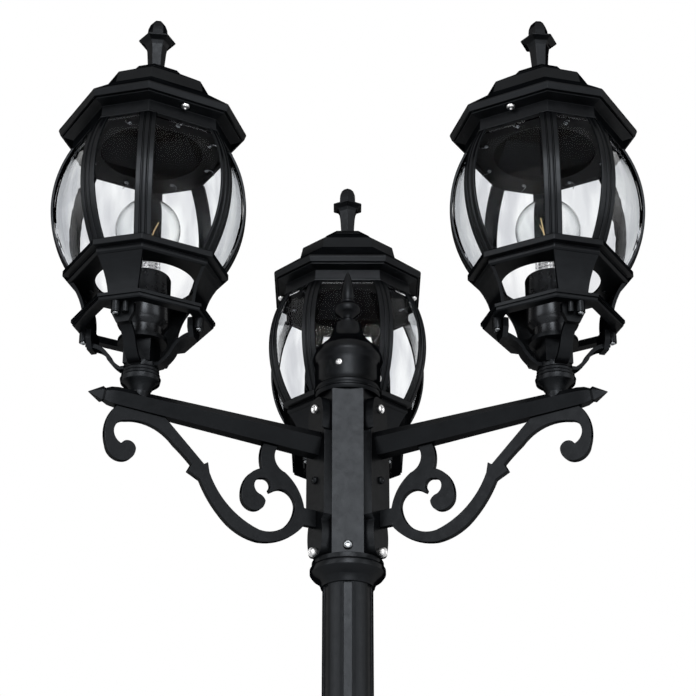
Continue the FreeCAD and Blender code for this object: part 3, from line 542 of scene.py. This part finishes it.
def head_screws(head, bright, dark, clips):
    """Screws of one arm's plate and of its lantern."""
    outwards = aim(Vector((0, 0, 0)), (1, 0, 0))
    for bm, z, radius, height in (
            (bright, COLUMN_TOP - 17 * MM, 4.2, 3.2), (bright, COLUMN_FOOT + 4.4 * MM, 4.4, 5.4),
            (dark, COLUMN_FOOT + 74 * MM, 3.6, 2.6)):
        screw(bm, head_matrix(head, PLATE_FACE, z) @ outwards, radius, height)
    lantern = head_matrix(head)
    for y in (-ROOF_SCREW_REACH, ROOF_SCREW_REACH):
        under_flange = lantern @ Matrix.Translation(Vector((0, y, FLANGE_TOP - 4.6 * MM)))
        screw(bright, under_flange @ UPSIDE_DOWN, 4.0, 2.4)
    for k in range(8):
        face = lantern @ Matrix.Rotation(k * math.pi / 4, 4, "Z")
        clip(clips, face @ Matrix.Translation(Vector((CLIP_REACH, 0, FRAME_BOTTOM))))
    for k, thick_side in enumerate((-1, -1, 1, 1)):
        corner = lantern @ Matrix.Rotation(math.pi / 4 + k * math.pi / 2, 4, "Z")
        place = Vector((KNUCKLE_REACH, thick_side * KNUCKLE_SIDE, RING_BOTTOM - KNUCKLE_DROP))
        screw(clips, corner @ Matrix.Translation(place) @ UPSIDE_DOWN, 2.7, 1.6, "socket")
        under_rim = Matrix.Translation(Vector((RIM_SCREW_REACH, 0, RIM_BOTTOM)))
        screw(dark, corner @ under_rim @ UPSIDE_DOWN, 2.6, 1.4)


def make_screws():
    """Bright and blackened screws all over the post."""
    bright, dark, clips = bmesh.new(), bmesh.new(), bmesh.new()
    for head in HEADS:
        head_screws(head, bright, dark, clips)
    for angle in CAP_SCREW_ANGLES:
        turn = math.radians(angle)
        place = polar(CAP_SCREW_REACH, turn, COLUMN_TOP + 26 * MM)
        screw(bright, aim(place, polar(1, turn)), 3.2, 1.8)
    foot_place = Vector((0, -COLUMN_FACE, COLUMN_FOOT + 8 * MM))
    screw(clips, aim(foot_place, (0, -1, 0)), 4.4, 3.4, "socket")
    add("screws_bright", bright, ROOT, "screw_metal", sharp=40)
    add("screws_dark", dark, ROOT, "black_casting", sharp=40)
    add("clips_and_socket_screws", clips, ROOT, "clip_metal", sharp=40)


# ---------------------------------------------------------------- stage

def maths(tree, operation, first, second):
    """Result of a sum on two values."""
    node = tree.nodes.new("ShaderNodeMath")
    node.operation = operation
    tree.links.new(first, node.inputs[0])
    tree.links.new(second, node.inputs[1])
    return node.outputs[0]


def seen_ray(tree):
    """One for rays that show the surroundings: camera, glossy and transmission."""
    path = tree.nodes.new("ShaderNodeLightPath")
    seen = maths(tree, "MAXIMUM", path.outputs["Is Camera Ray"], path.outputs["Is Glossy Ray"])
    return maths(tree, "MAXIMUM", seen, path.outputs["Is Transmission Ray"])


def mix_into(tree, output, share, first, second):
    """Surface that runs from the first shader to the second as the share grows."""
    mix = tree.nodes.new("ShaderNodeMixShader")
    tree.links.new(share, mix.inputs["Fac"])
    tree.links.new(first.outputs[0], mix.inputs[1])
    tree.links.new(second.outputs[0], mix.inputs[2])
    tree.links.new(mix.outputs[0], output.inputs["Surface"])


def make_floor():
    """Pale floor that runs into the white background away from the post."""
    bpy.ops.mesh.primitive_plane_add(size=24, location=(0, 0, -0.5 * MM))
    floor = bpy.context.object
    floor.name = "floor"
    material, tree, shader = new_material("floor_pale")
    shader.inputs["Base Color"].default_value = (0.82, 0.82, 0.82, 1)
    shader.inputs["Roughness"].default_value = 0.9
    place = tree.nodes.new("ShaderNodeTexCoord")
    length = tree.nodes.new("ShaderNodeVectorMath")
    length.operation = "LENGTH"
    tree.links.new(place.outputs["Object"], length.inputs[0])
    far = spread(tree, length.outputs["Value"], 0.0, 1.0, 0.9, 2.6)
    white = tree.nodes.new("ShaderNodeEmission")
    share = maths(tree, "MULTIPLY", far, seen_ray(tree))
    mix_into(tree, tree.nodes["Material Output"], share, shader, white)
    floor.data.materials.append(material)


def make_world():
    """Dim even light, and a white background for the rays that show it."""
    world = bpy.data.worlds.new("studio")
    bpy.context.scene.world = world
    world.use_nodes = True
    tree = world.node_tree
    light = tree.nodes["Background"]
    light.inputs["Color"].default_value = (0.93, 0.96, 1.0, 1)
    light.inputs["Strength"].default_value = 0.55
    white = tree.nodes.new("ShaderNodeBackground")
    white.inputs["Color"].default_value = (1, 1, 1, 1)
    mix_into(tree, tree.nodes["World Output"], seen_ray(tree), light, white)


def look(thing, direction):
    """Turn a lamp or a camera towards a direction."""
    thing.rotation_mode = "QUATERNION"
    thing.rotation_quaternion = direction.to_track_quat("-Z", "Y")


def area_lamp(name, place, aim_height, size, power):
    """Square soft lamp that faces the post at a height."""
    data = bpy.data.lights.new(name, "AREA")
    data.energy = power
    data.size = size
    lamp = bpy.data.objects.new(name, data)
    lamp.location = place
    look(lamp, Vector((0, 0, aim_height)) - Vector(place))
    bpy.context.scene.collection.objects.link(lamp)


def make_lamps():
    """Soft lamps. None stands where the camera would see it through the glass."""
    area_lamp("front", (0, -2.6, 2.9), 1.95, 1.3, 66)
    area_lamp("left", (-2.6, -1.6, 3.0), 2.0, 1.6, 35)
    area_lamp("right", (2.6, -1.6, 2.6), 2.0, 1.6, 25)
    area_lamp("low_front", (0.2, -2.7, 0.8), 1.95, 1.8, 32)
    area_lamp("back_left", (-3.0, 2.0, 3.0), 2.0, 1.4, 8)
    area_lamp("back_right", (3.0, 2.0, 3.0), 2.0, 1.4, 8)


def make_camera():
    """Camera low in front of the post, looking up at the lanterns."""
    data = bpy.data.cameras.new("camera")
    data.sensor_width = 36
    data.lens = 103.21
    data.clip_start = 0.05
    data.clip_end = 60
    camera = bpy.data.objects.new("camera", data)
    bpy.context.scene.collection.objects.link(camera)
    camera.location = (-0.0026, -1.7045, 1.1699)
    pitch, azimuth = math.radians(25.985), math.radians(0.094)
    level = Vector((math.sin(azimuth), math.cos(azimuth), 0))
    look(camera, level * math.cos(pitch) + Vector((0, 0, math.sin(pitch))))
    bpy.context.scene.camera = camera


# ---------------------------------------------------------------- assembly

def cast_pieces():
    """CAD castings with rounded edges."""
    from_node("foot", ROOT, "black_casting", 1.2 * MM)
    from_node("lower_shaft", ROOT, "black_shaft", 0.4 * MM)
    from_node("upper_shaft", ROOT, "black_shaft", 0.4 * MM, sharp=24)
    from_node("hub_column", ROOT, "black_casting", 0.9 * MM)
    from_node("backplates", ROOT, "black_casting", 0.8 * MM)
    from_node("scrolls", ROOT, "black_bracket", 0.7 * MM)
    from_node("cradles", ROOT, "black_cradle", 0.6 * MM)
    from_node("galleries", ROOT, "black_cage", 0.8 * MM)
    from_node("rims", ROOT, "black_cage", 0.7 * MM, sharp=20)
    from_node("top_frames", ROOT, "black_cage", 0.6 * MM, sharp=20)
    for head in HEADS:
        from_node("arm_" + head, ROOT, "black_arm", 0.8 * MM)
        from_node("roof_" + head, f"roof_{head}_body", "black_roof", 0.9 * MM, sharp=10)
        from_node("roof_finial_" + head, f"roof_{head}_body", "black_roof", 0.5 * MM, sharp=10)


def paint_terminal_block():
    """Finish for the one CAD node that stays as it is."""
    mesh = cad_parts["terminal_block"].data
    mesh.materials.clear()
    mesh.materials.append(MATERIALS["white_block"])


MATERIALS = make_materials()
cast_pieces()
paint_terminal_block()
make_ribs()
make_panes()
make_bulbs()
make_lamp_caps()
make_holders()
make_cap()
make_screws()
make_floor()
make_world()
make_lamps()
make_camera()
bpy.context.scene.view_settings.view_transform = "Standard"
